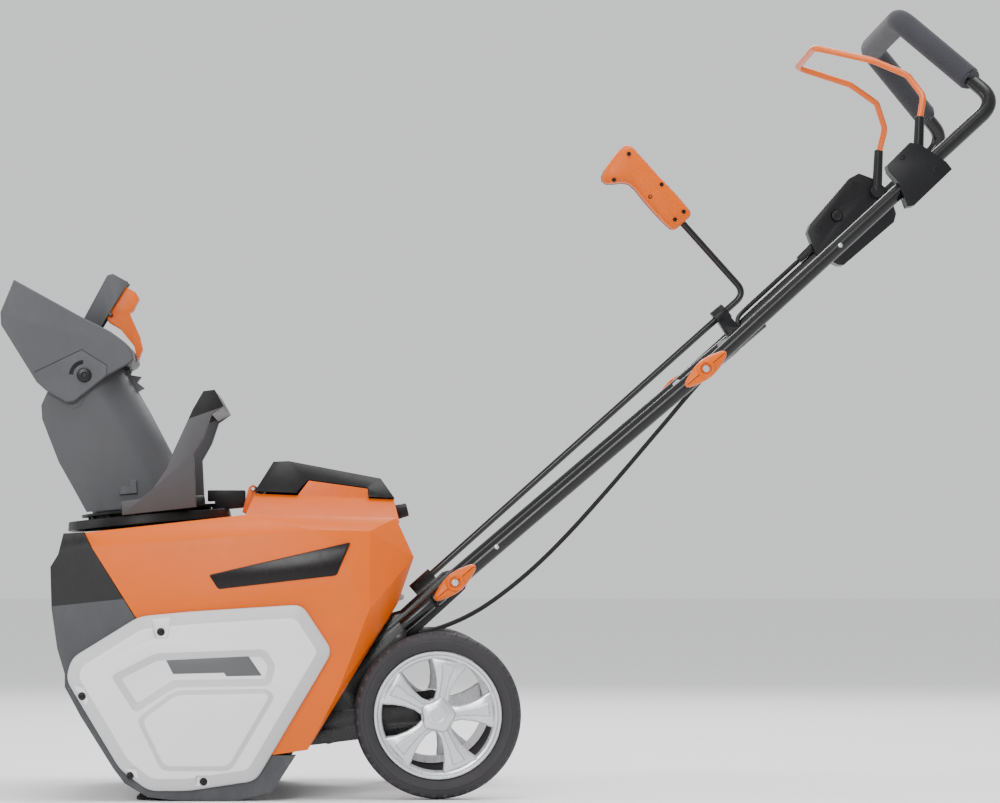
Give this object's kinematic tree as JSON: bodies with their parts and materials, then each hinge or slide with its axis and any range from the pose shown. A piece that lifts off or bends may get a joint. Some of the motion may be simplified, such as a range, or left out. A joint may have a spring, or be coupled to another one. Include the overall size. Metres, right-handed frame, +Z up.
{
  "type": "single stage snowblower",
  "caption": "Cordless single-stage snow blower: wide paddle auger, turning chute with tilting deflector, battery bay, two wheels and a folding handle with bail and chute lever.",
  "frame": {"origin": "on the ground under the middle of the machine's bounding box", "axes": "-X towards the intake, +X towards the handle, +Y the machine's right-hand side, +Z up"},
  "size_m": [1.2128, 0.536, 0.9638],
  "materials": {
    "orange_plastic": "smooth moulded orange plastic",
    "orange_rod": "orange coated steel rod",
    "grey_plastic": "fine grained grey plastic",
    "dark_plastic": "grained dark grey plastic",
    "black_plastic": "black plastic",
    "white_plastic": "satin off-white plastic",
    "silver_plastic": "silver painted wheel",
    "steel": "plain steel",
    "motor_black": "black painted can",
    "black_paint": "glossy black powder coat",
    "rubber": "black rubber",
    "tyre": "matt black tyre",
    "foam": "fine closed-cell foam"
  },
  "bodies": {
    "chassis": {"auger_housing": "dark_plastic", "scraper_bar": "rubber", "hood": "orange_plastic", "left_side_cover": "white_plastic", "right_side_cover": "white_plastic", "auger_bearing_left": "steel", "auger_bearing_right": "steel", "motor": "motor_black", "motor_controller": "black_plastic", "battery_bay": "black_plastic", "battery_pack": "grey_plastic", "lid_hinge_pin": "steel", "chute_deck": "dark_plastic", "gear_housing": "black_plastic", "carry_handle": "grey_plastic", "left_bracket": "black_paint", "right_bracket": "black_paint", "rear_cross_beam": "black_paint", "axle": "steel", "drive_belt": "rubber", "cable_lower": "rubber"},
    "auger": {"auger_rotor": "black_plastic", "auger_rubber_a": "rubber", "auger_rubber_b": "rubber", "auger_shaft": "steel", "auger_pulley": "black_plastic"},
    "motor_rotor": {"motor_pulley": "steel"},
    "left_wheel": {"left_tyre": "tyre", "left_rim": "silver_plastic"},
    "right_wheel": {"right_tyre": "tyre", "right_rim": "silver_plastic"},
    "chute": {"chute_ring": "dark_plastic", "chute_tube": "grey_plastic", "deflector_pivot_left": "steel", "deflector_pivot_right": "steel"},
    "pinion": {"chute_pinion": "black_plastic"},
    "shaft": {"control_shaft": "steel"},
    "deflector_hood": {"deflector": "grey_plastic", "deflector_grip": "grey_plastic"},
    "latch": {"latch_lever": "orange_plastic"},
    "lid": {"battery_lid": "black_plastic"},
    "catch": {"lid_catch_knob": "black_plastic"},
    "lower_tubes": {"lower_handle": "black_paint", "rod_guide": "black_plastic"},
    "lever": {"control_rod": "black_paint", "control_lever_grip": "orange_plastic", "rod_joint_sleeve": "black_plastic"},
    "upper_tubes": {"upper_handle": "black_paint", "foam_grip": "foam", "switch_box": "black_plastic", "pivot_box": "black_plastic", "cable_upper": "rubber", "cable_strain_relief": "black_plastic"},
    "bail_lever": {"bail": "orange_rod"},
    "lockout": {"lockout_button": "orange_plastic"},
    "left_lower_clamp": {"left_lower_knob": "orange_plastic"},
    "right_lower_clamp": {"right_lower_knob": "orange_plastic"},
    "left_upper_clamp": {"left_upper_knob": "orange_plastic"},
    "right_upper_clamp": {"right_upper_knob": "orange_plastic"}
  },
  "joints": [
    {"name": "auger_spin", "type": "hinge", "parent": "chassis", "child": "auger", "pos_m": [-0.385, 0, 0.118], "axis": [0, 1, 0], "continuous": true},
    {"name": "motor_spin", "type": "hinge", "parent": "chassis", "child": "motor_rotor", "pos_m": [-0.24, 0, 0.19], "axis": [0, 1, 0], "continuous": true},
    {"name": "left_wheel_spin", "type": "hinge", "parent": "chassis", "child": "left_wheel", "pos_m": [-0.069, -0.2155, 0.1], "axis": [0, 1, 0], "continuous": true},
    {"name": "right_wheel_spin", "type": "hinge", "parent": "chassis", "child": "right_wheel", "pos_m": [-0.069, 0.2155, 0.1], "axis": [0, 1, 0], "continuous": true},
    {"name": "chute_turn", "type": "hinge", "parent": "chassis", "child": "chute", "pos_m": [-0.424, 0, 0.335], "axis": [-0.0872, 0, 0.9962], "range_deg": [-90, 90]},
    {"name": "chute_pinion_spin", "type": "hinge", "parent": "chassis", "child": "pinion", "pos_m": [-0.32976, 0, 0.34324], "axis": [-0.0872, 0, 0.9962], "range_deg": [-402, 402]},
    {"name": "control_shaft_spin", "type": "hinge", "parent": "chassis", "child": "shaft", "pos_m": [-0.2, 0, 0.24], "axis": [1, 0, 0], "range_deg": [-76, 76]},
    {"name": "control_lever_swing", "type": "hinge", "parent": "lower_tubes", "child": "lever", "pos_m": [-0.0974, 0, 0.2467], "axis": [0.7452, 0, 0.6668], "range_deg": [-76, 76]},
    {"name": "deflector_tilt", "type": "hinge", "parent": "chute", "child": "deflector_hood", "pos_m": [-0.5024, 0, 0.5137], "axis": [0, -1, 0], "range_deg": [0, 50]},
    {"name": "deflector_latch_squeeze", "type": "hinge", "parent": "deflector_hood", "child": "latch", "pos_m": [-0.474, 0, 0.592], "axis": [0, -1, 0], "range_deg": [0, 12], "stiffness_Nm_per_rad": 0.6, "springref_deg": -17.19},
    {"name": "battery_lid_open", "type": "hinge", "parent": "chassis", "child": "lid", "pos_m": [-0.295, 0, 0.374], "axis": [0, -1, 0], "range_deg": [0, 75]},
    {"name": "lid_catch_turn", "type": "hinge", "parent": "chassis", "child": "catch", "pos_m": [-0.1175, 0, 0.346], "axis": [0.97, 0, 0.243], "range_deg": [0, 90]},
    {"name": "lower_handle_fold", "type": "hinge", "parent": "chassis", "child": "lower_tubes", "pos_m": [-0.0483, 0, 0.2584], "axis": [0, -1, 0], "range_deg": [0, 50]},
    {"name": "upper_handle_fold", "type": "hinge", "parent": "lower_tubes", "child": "upper_tubes", "pos_m": [0.252, 0, 0.5143], "axis": [0, 1, 0], "range_deg": [0, 120]},
    {"name": "bail_squeeze", "type": "hinge", "parent": "upper_tubes", "child": "bail_lever", "pos_m": [0.514, 0, 0.77], "axis": [0, 1, 0], "range_deg": [0, 22], "stiffness_Nm_per_rad": 0.5, "springref_deg": -34.38},
    {"name": "lockout_press", "type": "slide", "parent": "upper_tubes", "child": "lockout", "axis": [0, 1, 0], "range_m": [0, 0.004], "stiffness_N_per_m": 400, "springref_m": -0.002},
    {"name": "left_lower_knob_turn", "type": "hinge", "parent": "lower_tubes", "child": "left_lower_clamp", "pos_m": [-0.0483, -0.21, 0.2584], "axis": [0, 1, 0], "continuous": true},
    {"name": "left_upper_knob_turn", "type": "hinge", "parent": "upper_tubes", "child": "left_upper_clamp", "pos_m": [0.252, -0.23, 0.5143], "axis": [0, 1, 0], "continuous": true},
    {"name": "right_lower_knob_turn", "type": "hinge", "parent": "lower_tubes", "child": "right_lower_clamp", "pos_m": [-0.0483, 0.21, 0.2584], "axis": [0, 1, 0], "continuous": true},
    {"name": "right_upper_knob_turn", "type": "hinge", "parent": "upper_tubes", "child": "right_upper_clamp", "pos_m": [0.252, 0.23, 0.5143], "axis": [0, 1, 0], "continuous": true}
  ],
  "couplings": [
    {"joint": "motor_spin", "follows": "auger_spin", "ratio": 3.5385},
    {"joint": "chute_pinion_spin", "follows": "chute_turn", "ratio": -4.45},
    {"joint": "control_shaft_spin", "follows": "chute_turn", "ratio": 0.8333},
    {"joint": "control_lever_swing", "follows": "chute_turn", "ratio": 0.8333}
  ]
}
